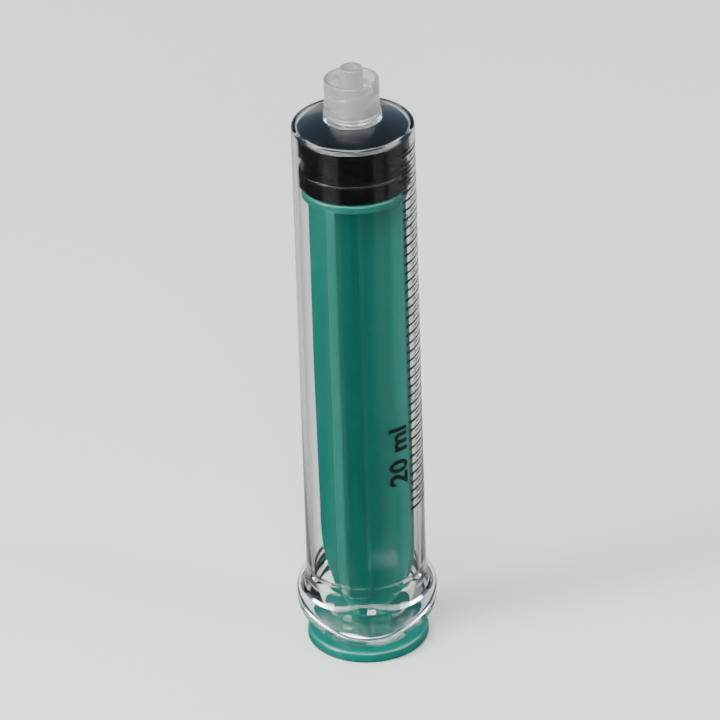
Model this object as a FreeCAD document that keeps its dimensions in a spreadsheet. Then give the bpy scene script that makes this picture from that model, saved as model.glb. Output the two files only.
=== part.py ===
import FreeCAD, Part
import math
import os

import Sketcher

# Luer lock syringe, three pieces: a clear barrel, a plunger rod and a rubber stopper.
# Millimetres. Z is the long axis, Z = 0 is the underside of the thumb rest and the tip points up.
# The plunger is fully home, and the wings of the finger flange lie along Y.

# Driving dimensions, one cell each
SIZES = {
    # barrel: tube and end
    "barrel_radius": 10.6,
    "barrel_wall": 1.0,
    "barrel_length": 93.5,
    "end_wall": 1.2,
    "nose_rise": 2.0,
    "shoulder_round": 0.75,
    "bore_end_bevel": 0.4,
    # barrel: foot ring, lock collar and luer tip
    "foot_ring_radius": 4.95,
    "foot_ring_height": 0.6,
    "collar_radius": 4.75,
    "collar_height": 6.5,
    "collar_bevel": 0.2,
    "thread_root_radius": 4.05,
    "thread_depth": 0.45,
    "thread_lead": 5.0,
    "thread_starts": 2,
    "thread_foot": 1.1,
    "thread_crest": 0.5,
    "thread_margin": 0.45,
    "luer_end_radius": 1.98,
    "luer_taper": 0.06,
    "luer_projection": 2.1,
    "luer_end_bevel": 0.2,
    "lumen_radius": 1.1,
    # barrel: flared root, finger flange and mouth
    "flare_height": 4.1,
    "flare_radius": 11.8,
    "flange_half_width": 12.4,
    "flange_half_span": 19.0,
    "flange_thickness": 2.5,
    "wing_end_radius": 8.0,
    "wing_thinning": 0.8,
    "flange_bevel": 0.4,
    "mouth_bevel": 0.6,
    "bead_height": 0.25,
    "bead_half_length": 0.9,
    # stopper
    "stopper_back": 11.2,
    "front_gap": 0.3,
    "rib_clearance": 0.03,
    "rib_depth": 0.47,
    "front_rib_start": 1.5,
    "front_rib_length": 2.9,
    "rear_rib_start": 7.7,
    "rear_rib_length": 2.5,
    "rib_bevel": 0.4,
    "full_travel": 76.0,
    "bead_clearance": 0.3,
    # plunger rod: thumb rest
    "thumb_radius": 10.8,
    "thumb_thickness": 2.3,
    "thumb_gap": 6.0,
    "thumb_bevel": 0.6,
    "grip_groove_depth": 0.4,
    "grip_groove_width": 1.0,
    "grip_groove_pitch": 2.6,
    "grip_grooves": 3,
    "grip_land_radius": 2.2,
    # plunger rod: fins
    "fin_reach": 9.1,
    "fin_thickness": 1.7,
    "fin_count": 4,
    "waist_height": 18.2,
    "waist_bend_radius": 25.0,
    "waist_reach": 3.9,
    "fin_foot_round": 0.8,
    "rod_turn": -27.5,
    # plunger rod: backing disc, neck and snap button
    "backing_radius": 9.1,
    "backing_thickness": 1.6,
    "backing_bevel": 0.3,
    "axial_play": 0.1,
    "snap_clearance": 0.05,
    "neck_radius": 3.2,
    "neck_height": 2.4,
    "button_radius": 5.0,
    "button_edge": 1.4,
    "button_height": 4.2,
    "button_top_radius": 2.2,
}

# Places worked out from the driving dimensions
PLACES = {
    "flange_back": "sizes.thumb_thickness + sizes.thumb_gap",
    "flange_front": "places.flange_back + sizes.flange_thickness",
    "flare_top": "places.flange_front + sizes.flare_height",
    "flare_rise": "sizes.flare_radius - sizes.barrel_radius",
    "flare_arc": "(places.flare_rise ^ 2 + sizes.flare_height ^ 2) / (2 * places.flare_rise)",
    # The long side arc bulges to the half width and touches the round end of each wing
    "wing_centre": "sizes.flange_half_span - sizes.wing_end_radius",
    "flange_side_radius": "(places.wing_centre ^ 2 + sizes.flange_half_width ^ 2 - sizes.wing_end_radius ^ 2)"
                          " / (2 * (sizes.flange_half_width - sizes.wing_end_radius))",
    "wing_touch_x": "(places.flange_side_radius - sizes.flange_half_width) * sizes.wing_end_radius"
                    " / (places.flange_side_radius - sizes.wing_end_radius)",
    "wing_touch_y": "places.flange_side_radius * places.wing_centre"
                    " / (places.flange_side_radius - sizes.wing_end_radius)",
    "shoulder": "places.flange_back + sizes.barrel_length",
    "nose_top": "places.shoulder + sizes.nose_rise",
    "cone_slope": "sizes.nose_rise / (sizes.barrel_radius - sizes.foot_ring_radius)",
    "cone_run": "sqrt(1 + places.cone_slope ^ 2)",
    "shoulder_tangent": "sizes.shoulder_round / (places.cone_run + places.cone_slope)",
    "shoulder_inset": "places.shoulder_tangent / places.cone_run",
    "bore_radius": "sizes.barrel_radius - sizes.barrel_wall",
    "bore_top": "places.nose_top - sizes.end_wall",
    "bore_corner": "places.shoulder + places.cone_slope * sizes.barrel_wall - sizes.end_wall",
    "foot_ring_top": "places.nose_top + sizes.foot_ring_height",
    "collar_top": "places.nose_top + sizes.collar_height",
    "thread_crest_radius": "sizes.thread_root_radius - sizes.thread_depth",
    "thread_low": "places.nose_top + sizes.thread_margin",
    "thread_climb": "sizes.collar_height - sizes.thread_foot - 2 * sizes.thread_margin",
    "thread_bite": "(sizes.collar_radius - sizes.thread_root_radius) / 3",
    "luer_top": "places.collar_top + sizes.luer_projection",
    "luer_foot_radius": "sizes.luer_end_radius"
                        " + (places.luer_top - places.nose_top) * sizes.luer_taper / 2",
    "bead_top": "places.shoulder - sizes.rear_rib_start - sizes.rear_rib_length"
                " - sizes.full_travel - sizes.bead_clearance",
    "bead_peak": "places.bead_top - sizes.bead_half_length",
    "bead_bottom": "places.bead_peak - sizes.bead_half_length",
    "bead_radius": "places.bore_radius - sizes.bead_height",
    "stopper_tail": "places.shoulder - sizes.stopper_back",
    "stopper_top": "places.bore_top - sizes.front_gap",
    "rib_radius": "places.bore_radius - sizes.rib_clearance",
    "groove_radius": "places.rib_radius - sizes.rib_depth",
    "front_edge": "places.shoulder + places.cone_slope * (sizes.barrel_radius - places.groove_radius)"
                  " - sizes.end_wall - sizes.front_gap",
    "front_rib_top": "places.shoulder - sizes.front_rib_start",
    "front_rib_bottom": "places.front_rib_top - sizes.front_rib_length",
    "rear_rib_top": "places.shoulder - sizes.rear_rib_start",
    "rear_rib_bottom": "places.rear_rib_top - sizes.rear_rib_length",
    "backing_top": "places.stopper_tail - sizes.axial_play",
    "backing_bottom": "places.backing_top - sizes.backing_thickness",
    "neck_top": "places.backing_top + sizes.neck_height",
    "button_edge_top": "places.neck_top + sizes.button_edge",
    "button_top": "places.neck_top + sizes.button_height",
    "lip_top": "places.neck_top - sizes.axial_play",
    "waist_top": "sizes.thumb_thickness + sizes.waist_height",
}

# A cut runs this far past the face that it opens
OVERRUN = 1.0


def add_sheet(doc, name, cells):
    """Make a spreadsheet with one aliased cell for each entry of cells."""
    sheet = doc.addObject("Spreadsheet::Sheet", name)
    for row, (alias, content) in enumerate(cells.items(), start=1):
        sheet.set(f"A{row}", alias.replace("_", " "))
        sheet.set(f"B{row}", str(content))
        sheet.setAlias(f"B{row}", alias)
    return sheet


def value(expression):
    """The number that a sheet expression gives now."""
    return float(SHEETS["sizes"].evalExpression(expression))


def origin_part(body, role):
    """A plane or axis of the body's own origin."""
    return next(part for part in body.Origin.OriginFeatures if part.Role == role)


def new_sketch(body, name, plane):
    sketch = body.newObject("Sketcher::SketchObject", name)
    sketch.AttachmentSupport = [(origin_part(body, plane), "")]
    sketch.MapMode = "FlatFace"
    return sketch


def tie(sketch, kind, geometry, expression):
    """Add a dimension whose number follows the sheet."""
    index = sketch.addConstraint(Sketcher.Constraint(kind, *geometry, value(expression)))
    sketch.setExpression(f"Constraints[{index}]", expression)


def tie_point(sketch, point, across, up):
    """Place a sketch point by two expressions; a nought puts it on the sketch axis."""
    for kind, axis, expression in (("DistanceX", -2, across), ("DistanceY", -1, up)):
        if expression == "0":
            sketch.addConstraint(Sketcher.Constraint("PointOnObject", *point, axis))
        else:
            tie(sketch, kind, (-1, 1, *point), expression)


def arc_between(start, end, radius):
    """Arc from start to end; it turns left where the radius is positive and right where it isn't."""
    chord = end - start
    half = chord.Length / 2
    height = math.sqrt(max(radius * radius - half * half, 0.0))
    left = FreeCAD.Vector(-chord.y, chord.x, 0).normalize()
    centre = (start + end) / 2 + left * math.copysign(height, radius)
    sweep = [math.atan2(point.y - centre.y, point.x - centre.x) for point in (start, end)]
    if radius < 0:
        sweep.reverse()
    circle = Part.Circle(centre, FreeCAD.Vector(0, 0, 1), abs(radius))
    return Part.ArcOfCircle(circle, sweep[0], sweep[1])


def outline(body, name, plane, corners, arcs=None):
    """Closed outline through corners given as pairs of expressions.

    arcs maps the number of a side to the radius expression of the arc that replaces its straight
    line, with a sign in front: + turns left on the way round and - turns right.
    """
    arcs = arcs or {}
    sketch = new_sketch(body, name, plane)
    points = [FreeCAD.Vector(value(across), value(up), 0) for across, up in corners]
    ends = []
    for number, start in enumerate(points):
        end = points[(number + 1) % len(points)]
        if number in arcs:
            sign = -1 if arcs[number][0] == "-" else 1
            sketch.addGeometry(arc_between(start, end, sign * value(arcs[number][1:])))
            ends.append((1, 2) if sign > 0 else (2, 1))
        else:
            sketch.addGeometry(Part.LineSegment(start, end))
            ends.append((1, 2))
    for number in range(len(points)):
        following = (number + 1) % len(points)
        joint = Sketcher.Constraint("Coincident", number, ends[number][1], following, ends[following][0])
        sketch.addConstraint(joint)
    for number, (across, up) in enumerate(corners):
        tie_point(sketch, (number, ends[number][0]), across, up)
    for number, radius in arcs.items():
        tie(sketch, "Radius", (number,), radius[1:])
    return sketch


def feature(body, kind, name, sketch):
    """Add a sketch-based feature at the body's tip."""
    body.Document.recompute()
    made = body.newObject(kind, name)
    made.Profile = sketch
    return made


def turned(body, kind, name, corners, arcs=None):
    """Revolve an outline, given as (radius, height) pairs, about the body's Z axis."""
    body.Document.recompute()
    before = volume(body)
    sketch = outline(body, name + "_outline", "XZ_Plane", corners, arcs)
    made = feature(body, kind, name, sketch)
    made.ReferenceAxis = (origin_part(body, "Z_Axis"), [""])
    made.Angle = 360
    body.Document.recompute()
    if kind.endswith("Groove") and not volume(body) < before:
        raise RuntimeError(f"{name} cuts nothing")
    return made


def volume(body):
    shape = body.Shape
    return 0.0 if shape.isNull() else shape.Volume


def break_edges(body, kind, name, size, chosen):
    """Fillet or chamfer, as kind says, every edge of the body's solid that chosen accepts."""
    body.Document.recompute()
    base = body.Tip
    edges = [f"Edge{number}" for number, edge in enumerate(base.Shape.Edges, start=1) if chosen(edge)]
    if not edges:
        raise RuntimeError(f"{name} finds no edge")
    made = body.newObject(f"PartDesign::{kind}", name)
    made.Base = (base, edges)
    made.setExpression("Radius" if kind == "Fillet" else "Size", size)
    return made


def ring_at(radius, height):
    """Choose the full circle of this radius at this height, both expressions."""
    wanted_radius = value(radius)
    wanted_height = value(height)

    def chosen(edge):
        curve = edge.Curve
        if not isinstance(curve, Part.Circle) or not edge.isClosed():
            return False
        return abs(curve.Radius - wanted_radius) < 1e-4 and abs(curve.Center.z - wanted_height) < 1e-4

    return chosen


def make_barrel(doc):
    body = doc.addObject("PartDesign::Body", "barrel")

    # Finger flange: a plate with round wing ends joined by long arcs, thinner towards the ends
    sketch = outline(body, "flange_outline", "XY_Plane", [
        ("places.wing_touch_x", "places.wing_touch_y"),
        ("-places.wing_touch_x", "places.wing_touch_y"),
        ("-places.wing_touch_x", "-places.wing_touch_y"),
        ("places.wing_touch_x", "-places.wing_touch_y"),
    ], {
        0: "+sizes.wing_end_radius",
        1: "+places.flange_side_radius",
        2: "+sizes.wing_end_radius",
        3: "+places.flange_side_radius",
    })
    sketch.setExpression(".AttachmentOffset.Base.z", "places.flange_back")
    plate = feature(body, "PartDesign::Pad", "flange", sketch)
    plate.setExpression("Length", "sizes.flange_thickness")
    turned(body, "PartDesign::Groove", "wing_thinning_cut", [
        ("sizes.flange_half_width", "places.flange_front"),
        ("sizes.flange_half_span", "places.flange_front - sizes.wing_thinning"),
        (f"sizes.flange_half_span + {OVERRUN}", "places.flange_front - sizes.wing_thinning"),
        (f"sizes.flange_half_span + {OVERRUN}", f"places.flange_front + {OVERRUN}"),
        ("sizes.flange_half_width", f"places.flange_front + {OVERRUN}"),
    ])
    flange_back = value("places.flange_back")
    break_edges(body, "Chamfer", "flange_edge_bevel", "sizes.flange_bevel",
                lambda edge: abs(edge.BoundBox.ZMax - flange_back) < 1e-4)

    # Outer form: flared root, tube, coned shoulder, foot ring, collar
    turned(body, "PartDesign::Revolution", "outer_form", [
        ("0", "places.flange_back"),
        ("sizes.barrel_radius", "places.flange_back"),
        ("sizes.flare_radius", "places.flange_front"),
        ("sizes.barrel_radius", "places.flare_top"),
        ("sizes.barrel_radius", "places.shoulder - places.shoulder_tangent"),
        ("sizes.barrel_radius - places.shoulder_inset",
         "places.shoulder + places.shoulder_inset * places.cone_slope"),
        ("sizes.foot_ring_radius", "places.nose_top"),
        ("sizes.foot_ring_radius", "places.foot_ring_top"),
        ("sizes.collar_radius", "places.foot_ring_top"),
        ("sizes.collar_radius", "places.collar_top"),
        ("0", "places.collar_top"),
    ], {2: "-places.flare_arc", 4: "+sizes.shoulder_round"})
    break_edges(body, "Chamfer", "collar_edge_bevel", "sizes.collar_bevel",
                ring_at("sizes.collar_radius", "places.collar_top"))

    # Bore, with the bevelled mouth and the bead that holds the stopper in
    turned(body, "PartDesign::Groove", "bore", [
        ("0", f"places.flange_back - {OVERRUN}"),
        ("places.bore_radius + sizes.mouth_bevel", f"places.flange_back - {OVERRUN}"),
        ("places.bore_radius + sizes.mouth_bevel", "places.flange_back"),
        ("places.bore_radius", "places.flange_back + sizes.mouth_bevel"),
        ("places.bore_radius", "places.bead_bottom"),
        ("places.bead_radius", "places.bead_peak"),
        ("places.bore_radius", "places.bead_top"),
        ("places.bore_radius", "places.bore_corner"),
        ("sizes.foot_ring_radius", "places.bore_top"),
        ("0", "places.bore_top"),
    ])
    break_edges(body, "Chamfer", "bore_corner_bevel", "sizes.bore_end_bevel",
                ring_at("places.bore_radius", "places.bore_corner"))

    # Lock collar: the ring-shaped space around the tip
    turned(body, "PartDesign::Groove", "collar_space", [
        ("places.luer_foot_radius", "places.nose_top"),
        ("sizes.thread_root_radius", "places.nose_top"),
        ("sizes.thread_root_radius", f"places.collar_top + {OVERRUN}"),
        ("places.luer_foot_radius", f"places.collar_top + {OVERRUN}"),
    ])

    # Male luer tip
    turned(body, "PartDesign::Revolution", "luer_tip", [
        ("0", "places.bore_top"),
        ("places.luer_foot_radius", "places.bore_top"),
        ("places.luer_foot_radius", "places.nose_top"),
        ("sizes.luer_end_radius", "places.luer_top"),
        ("0", "places.luer_top"),
    ])
    break_edges(body, "Chamfer", "luer_end_edge_bevel", "sizes.luer_end_bevel",
                ring_at("sizes.luer_end_radius", "places.luer_top"))
    turned(body, "PartDesign::Groove", "lumen", [
        ("0", f"places.bore_top - {OVERRUN}"),
        ("sizes.lumen_radius", f"places.bore_top - {OVERRUN}"),
        ("sizes.lumen_radius", f"places.luer_top + {OVERRUN}"),
        ("0", f"places.luer_top + {OVERRUN}"),
    ])

    # Lock thread: a right-handed ridge on the collar's inner wall, copied round for each start
    section = outline(body, "thread_section", "XZ_Plane", [
        ("sizes.thread_root_radius + places.thread_bite", "places.thread_low"),
        ("sizes.thread_root_radius + places.thread_bite", "places.thread_low + sizes.thread_foot"),
        ("sizes.thread_root_radius", "places.thread_low + sizes.thread_foot"),
        ("places.thread_crest_radius", "places.thread_low + (sizes.thread_foot + sizes.thread_crest) / 2"),
        ("places.thread_crest_radius", "places.thread_low + (sizes.thread_foot - sizes.thread_crest) / 2"),
        ("sizes.thread_root_radius", "places.thread_low"),
    ])
    ridge = feature(body, "PartDesign::AdditiveHelix", "lock_thread", section)
    ridge.ReferenceAxis = (origin_part(body, "Z_Axis"), [""])
    ridge.Mode = "pitch-height-angle"
    ridge.setExpression("Pitch", "sizes.thread_lead")
    ridge.setExpression("Height", "places.thread_climb")
    doc.recompute()
    starts = body.newObject("PartDesign::PolarPattern", "lock_thread_starts")
    starts.Originals = [ridge]
    starts.Axis = (origin_part(body, "Z_Axis"), [""])
    starts.Angle = 360
    starts.setExpression("Occurrences", "sizes.thread_starts")
    body.Tip = starts
    return body


def make_stopper(doc):
    body = doc.addObject("PartDesign::Body", "stopper")

    # Rubber form: coned front, two ribs that run in the bore and the groove between them
    turned(body, "PartDesign::Revolution", "rubber_form", [
        ("0", "places.stopper_tail"),
        ("places.groove_radius", "places.stopper_tail"),
        ("places.groove_radius", "places.rear_rib_bottom"),
        ("places.rib_radius", "places.rear_rib_bottom"),
        ("places.rib_radius", "places.rear_rib_top"),
        ("places.groove_radius", "places.rear_rib_top"),
        ("places.groove_radius", "places.front_rib_bottom"),
        ("places.rib_radius", "places.front_rib_bottom"),
        ("places.rib_radius", "places.front_rib_top"),
        ("places.groove_radius", "places.front_edge"),
        ("sizes.foot_ring_radius", "places.stopper_top"),
        ("0", "places.stopper_top"),
    ])
    for edge in ("rear_rib_bottom", "rear_rib_top", "front_rib_bottom", "front_rib_top"):
        break_edges(body, "Chamfer", edge + "_bevel", "sizes.rib_bevel",
                    ring_at("places.rib_radius", "places." + edge))

    # Cavity that snaps over the rod's button
    turned(body, "PartDesign::Groove", "snap_cavity", [
        ("0", f"places.stopper_tail - {OVERRUN}"),
        ("sizes.neck_radius + sizes.snap_clearance", f"places.stopper_tail - {OVERRUN}"),
        ("sizes.neck_radius + sizes.snap_clearance", "places.lip_top"),
        ("sizes.button_radius + sizes.snap_clearance", "places.lip_top"),
        ("sizes.button_radius + sizes.snap_clearance", "places.button_edge_top + sizes.axial_play"),
        ("sizes.button_top_radius + sizes.snap_clearance", "places.button_top + sizes.axial_play"),
        ("0", "places.button_top + sizes.axial_play"),
    ])
    return body


def make_fin_outline(body):
    """Half fin: straight above, bent in over an arc and then straight down to the thumb rest."""
    sketch = new_sketch(body, "fin_outline", "XZ_Plane")
    reach = value("sizes.fin_reach")
    foot = FreeCAD.Vector(value("sizes.waist_reach"), value("sizes.thumb_thickness"), 0)
    bend = value("sizes.waist_bend_radius")
    bend_top = FreeCAD.Vector(reach, value("places.waist_top"), 0)
    centre = bend_top - FreeCAD.Vector(bend, 0, 0)
    # The straight foot touches the bend: the touching point seen from the bend's centre
    span = foot - centre
    angle = math.atan2(span.y, span.x) + math.acos(bend / span.Length)
    touch = centre + FreeCAD.Vector(math.cos(angle), math.sin(angle), 0) * bend
    top = value("places.backing_bottom")
    inner_low = FreeCAD.Vector(0, foot.y, 0)
    inner_high = FreeCAD.Vector(0, top, 0)
    outer_high = FreeCAD.Vector(reach, top, 0)
    sketch.addGeometry(Part.LineSegment(inner_low, foot))
    sketch.addGeometry(Part.LineSegment(foot, touch))
    circle = Part.Circle(centre, FreeCAD.Vector(0, 0, 1), bend)
    sketch.addGeometry(Part.ArcOfCircle(circle, angle, 0))
    sketch.addGeometry(Part.LineSegment(bend_top, outer_high))
    sketch.addGeometry(Part.LineSegment(outer_high, inner_high))
    sketch.addGeometry(Part.LineSegment(inner_high, inner_low))
    for first, second in ((0, 1), (3, 4), (4, 5), (5, 0)):
        sketch.addConstraint(Sketcher.Constraint("Coincident", first, 2, second, 1))
    for first, second in ((1, 2), (2, 3)):
        sketch.addConstraint(Sketcher.Constraint("Tangent", first, 2, second, 1))
    sketch.addConstraint(Sketcher.Constraint("Vertical", 3))
    sketch.addConstraint(Sketcher.Constraint("Horizontal", 4))
    tie_point(sketch, (0, 1), "0", "sizes.thumb_thickness")
    tie_point(sketch, (0, 2), "sizes.waist_reach", "sizes.thumb_thickness")
    tie_point(sketch, (3, 1), "sizes.fin_reach", "places.waist_top")
    tie_point(sketch, (5, 1), "0", "places.backing_bottom")
    tie(sketch, "Radius", (2,), "sizes.waist_bend_radius")
    return sketch


def make_plunger_rod(doc):
    body = doc.addObject("PartDesign::Body", "plunger_rod")

    # One fin, then the cross of fins about the axis
    fin = feature(body, "PartDesign::Pad", "fin", make_fin_outline(body))
    fin.SideType = "Symmetric"
    fin.setExpression("Length", "sizes.fin_thickness")
    doc.recompute()
    cross = body.newObject("PartDesign::PolarPattern", "fin_cross")
    cross.Originals = [fin]
    cross.Axis = (origin_part(body, "Z_Axis"), [""])
    cross.Angle = 360
    cross.setExpression("Occurrences", "sizes.fin_count")
    body.Tip = cross

    # Thumb rest, a disc with a bevelled rim
    turned(body, "PartDesign::Revolution", "thumb_rest", [
        ("0", "0"),
        ("sizes.thumb_radius", "0"),
        ("sizes.thumb_radius", "sizes.thumb_thickness"),
        ("0", "sizes.thumb_thickness"),
    ])
    thumb_top = value("sizes.thumb_thickness")

    def fin_foot_end(edge):
        box = edge.BoundBox
        flat = abs(box.ZMin - thumb_top) < 1e-4 and box.ZLength < 1e-4
        return flat and isinstance(edge.Curve, Part.Line) and edge.Length < value("sizes.fin_thickness") + 1e-4

    break_edges(body, "Fillet", "fin_foot_blend", "sizes.fin_foot_round", fin_foot_end)
    for name, height in (("thumb_under_bevel", "0"), ("thumb_over_bevel", "sizes.thumb_thickness")):
        break_edges(body, "Chamfer", name, "sizes.thumb_bevel", ring_at("sizes.thumb_radius", height))

    # Grip rings under the thumb rest
    for ring in range(int(SIZES["grip_grooves"])):
        start = f"sizes.grip_land_radius + {ring} * sizes.grip_groove_pitch"
        turned(body, "PartDesign::Groove", f"grip_groove_{ring + 1}", [
            (start, f"-{OVERRUN}"),
            (f"{start} + sizes.grip_groove_width", f"-{OVERRUN}"),
            (f"{start} + sizes.grip_groove_width", "sizes.grip_groove_depth"),
            (start, "sizes.grip_groove_depth"),
        ])

    # Head: backing disc, neck and the button that the rubber snaps over
    turned(body, "PartDesign::Revolution", "head", [
        ("0", "places.backing_bottom"),
        ("sizes.backing_radius", "places.backing_bottom"),
        ("sizes.backing_radius", "places.backing_top"),
        ("sizes.neck_radius", "places.backing_top"),
        ("sizes.neck_radius", "places.neck_top"),
        ("sizes.button_radius", "places.neck_top"),
        ("sizes.button_radius", "places.button_edge_top"),
        ("sizes.button_top_radius", "places.button_top"),
        ("0", "places.button_top"),
    ])
    break_edges(body, "Chamfer", "backing_edge_bevel", "sizes.backing_bevel",
                ring_at("sizes.backing_radius", "places.backing_top"))
    body.setExpression("Placement.Rotation.Angle", "sizes.rod_turn")
    return body


def check(doc, bodies):
    """Stop with a plain message unless every object and every piece is sound."""
    doc.recompute()
    for item in doc.Objects:
        faults = [state for state in item.State if state in ("Invalid", "Error")]
        if faults:
            raise RuntimeError(f"{item.Label} is {faults}")
    for body in bodies:
        shape = body.Shape
        if shape.isNull() or not shape.isValid() or len(shape.Solids) != 1:
            raise RuntimeError(f"{body.Label} isn't one valid solid")
        print(f"{body.Label}: {shape.Volume:.1f} mm3, box {shape.BoundBox}")


document = FreeCAD.newDocument("luer_lock_syringe")
SHEETS = {
    "sizes": add_sheet(document, "sizes", SIZES),
    "places": add_sheet(document, "places", {name: "=" + formula for name, formula in PLACES.items()}),
}
document.recompute()
pieces = [make_barrel(document), make_stopper(document), make_plunger_rod(document)]
check(document, pieces)
os.makedirs("parts", exist_ok=True)
for piece in pieces:
    piece.Shape.exportStep(f"parts/{piece.Label}.step")
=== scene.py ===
"""Looks of the luer lock syringe: clear barrel with its printed scale, green plunger rod, black stopper.

Sizes in the classes are millimetres in the row frame; everything placed in Blender is metres.
"""

import logging
import math
from dataclasses import dataclass, field
from enum import Enum
from typing import Iterable, Sequence

import bmesh
import bpy
from mathutils import Matrix, Vector


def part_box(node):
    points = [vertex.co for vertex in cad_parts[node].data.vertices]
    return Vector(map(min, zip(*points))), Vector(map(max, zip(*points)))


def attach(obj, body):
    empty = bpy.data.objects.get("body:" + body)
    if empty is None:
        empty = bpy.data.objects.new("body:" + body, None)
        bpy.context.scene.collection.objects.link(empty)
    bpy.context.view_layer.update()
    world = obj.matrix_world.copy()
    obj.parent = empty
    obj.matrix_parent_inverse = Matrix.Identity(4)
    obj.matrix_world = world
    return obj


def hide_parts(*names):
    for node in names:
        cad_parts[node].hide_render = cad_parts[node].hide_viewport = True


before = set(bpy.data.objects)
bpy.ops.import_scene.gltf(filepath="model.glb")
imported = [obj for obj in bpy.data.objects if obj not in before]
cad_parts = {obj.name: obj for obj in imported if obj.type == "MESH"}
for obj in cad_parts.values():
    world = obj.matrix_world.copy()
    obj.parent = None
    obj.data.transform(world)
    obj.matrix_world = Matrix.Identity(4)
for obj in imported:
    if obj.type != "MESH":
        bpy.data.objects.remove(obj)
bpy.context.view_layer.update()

MM = 0.001

Piece = bpy.types.Object
Socket = bpy.types.NodeSocket
Material = bpy.types.Material
Tree = bpy.types.NodeTree
Node = bpy.types.Node
Look = dict[str, Socket]
Pair = tuple[float, float]
Colour = tuple[float, float, float, float]
Grain = tuple[float, float, float, float]
Cards = tuple[tuple[float, float, float], ...]

logging.basicConfig(level=logging.INFO, format="%(message)s")
LOG = logging.getLogger("syringe")


class Body(Enum):
    """The moving bodies that pieces ride on."""

    BARREL = "barrel"
    STOPPER = "stopper"
    PLUNGER = "plunger"


class Tick(Enum):
    """Kinds of line on the scale: the angle where each ends, in degrees, and its width in millimetres."""

    HALF = (84.0, 0.42)
    ONE = (92.0, 0.45)
    FIVE = (101.0, 0.52)


@dataclass(frozen=True)
class Corner:
    """One corner of an outline that is turned about Z, with the radius that rounds it off."""

    r: float
    z: float
    rounding: float = 0.0


def node_box(node: str) -> tuple[Vector, Vector]:
    """Lowest and highest corner of a CAD node, in millimetres."""
    low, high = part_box(node)
    return low / MM, high / MM


def deselect_all() -> None:
    """Leave nothing selected, so that the next operator acts on the new piece alone."""
    if bpy.context.object is not None and bpy.context.object.mode != "OBJECT":
        bpy.ops.object.mode_set(mode="OBJECT")
    bpy.ops.object.select_all(action="DESELECT")


def make_active(piece: Piece) -> None:
    """Select one piece alone and make it the active one."""
    deselect_all()
    piece.select_set(True)
    bpy.context.view_layer.objects.active = piece


def round_off(corners: Sequence[Corner], degrees_per_step: float = 15.0) -> list[Vector]:
    """Replace each rounded corner of a closed outline by points on its arc.

    Args:
        corners: the outline's corners in order.
        degrees_per_step: how far the outline turns at each point of an arc.

    Returns:
        Points of the outline, as (radius, 0, height).
    """
    points = []
    count = len(corners)
    for number, corner in enumerate(corners):
        here = Vector((corner.r, 0.0, corner.z))
        before = Vector((corners[number - 1].r, 0.0, corners[number - 1].z)) - here
        after = Vector((corners[(number + 1) % count].r, 0.0, corners[(number + 1) % count].z)) - here
        if corner.rounding <= 0.0:
            points.append(here)
            continue
        opening = before.angle(after)
        reach = corner.rounding / math.tan(opening / 2)
        middle = (before.normalized() + after.normalized()).normalized()
        centre = here + middle * corner.rounding / math.sin(opening / 2)
        start = here + before.normalized() * reach - centre
        turn = math.pi - opening
        steps = max(2, round(math.degrees(turn) / degrees_per_step))
        axis = start.cross(here + after.normalized() * reach - centre).normalized()
        for step in range(steps + 1):
            points.append(centre + Matrix.Rotation(turn * step / steps, 3, axis) @ start)
    return points


def rename(piece: Piece, name: str) -> None:
    """Give a piece and its mesh one name."""
    piece.name = name
    piece.data.name = name


def face_outwards() -> None:
    """Turn every face of the piece in edit mode outwards, and leave edit mode."""
    bpy.ops.mesh.select_all(action="SELECT")
    bpy.ops.mesh.normals_make_consistent(inside=False)
    bpy.ops.object.mode_set(mode="OBJECT")


def draw_outline(name: str, points: Sequence[Vector]) -> Piece:
    """Draw a closed outline: collapse a plane to one vertex, and extrude that from point to point.

    Args:
        name: name of the new piece.
        points: the outline's points in millimetres.

    Returns:
        The new piece, in edit mode, with its outline closed and selected.
    """
    deselect_all()
    bpy.ops.mesh.primitive_plane_add(size=MM, location=(0, 0, 0))
    piece = bpy.context.object
    rename(piece, name)
    bpy.ops.object.mode_set(mode="EDIT")
    bpy.ops.mesh.select_all(action="SELECT")
    bpy.ops.mesh.merge(type="CENTER")
    bpy.ops.transform.translate(value=points[0] * MM)
    for last, point in zip(points, points[1:]):
        bpy.ops.mesh.extrude_vertices_move(TRANSFORM_OT_translate={"value": (point - last) * MM})
    mesh = bmesh.from_edit_mesh(piece.data)
    for vert in mesh.verts:
        vert.select = len(vert.link_edges) == 1
    mesh.select_flush_mode()
    bmesh.update_edit_mesh(piece.data)
    bpy.ops.mesh.edge_face_add()
    bpy.ops.mesh.select_all(action="SELECT")
    return piece


def turn(name: str, corners: Sequence[Corner], steps: int = 192) -> Piece:
    """Turn a closed outline all the way about Z, as on a lathe.

    Args:
        name: name of the new piece.
        corners: the outline's corners in order; the ones on the axis have radius 0.
        steps: segments in the full turn.

    Returns:
        The closed, turned piece in object mode.
    """
    piece = draw_outline(name, round_off(corners))
    bpy.ops.mesh.spin(steps=steps, angle=2 * math.pi, center=(0, 0, 0), axis=(0, 0, 1))
    bpy.ops.mesh.select_all(action="SELECT")
    bpy.ops.mesh.remove_doubles(threshold=1e-7)
    bpy.ops.mesh.select_all(action="DESELECT")
    mesh = bmesh.from_edit_mesh(piece.data)
    loose = [edge for edge in mesh.edges if not edge.link_faces]
    bmesh.ops.delete(mesh, geom=loose, context="EDGES")
    bmesh.update_edit_mesh(piece.data)
    face_outwards()
    return piece


def apply_modifier(piece: Piece, kind: str, **settings: object) -> None:
    """Add a modifier, set it and apply it.

    Args:
        piece: the piece that it shapes.
        kind: Blender's name for the modifier type.
        settings: its properties by name.
    """
    make_active(piece)
    modifier = piece.modifiers.new(kind.title(), kind)
    for name, value in settings.items():
        setattr(modifier, name, value)
    bpy.ops.object.modifier_apply(modifier=modifier.name)


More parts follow.
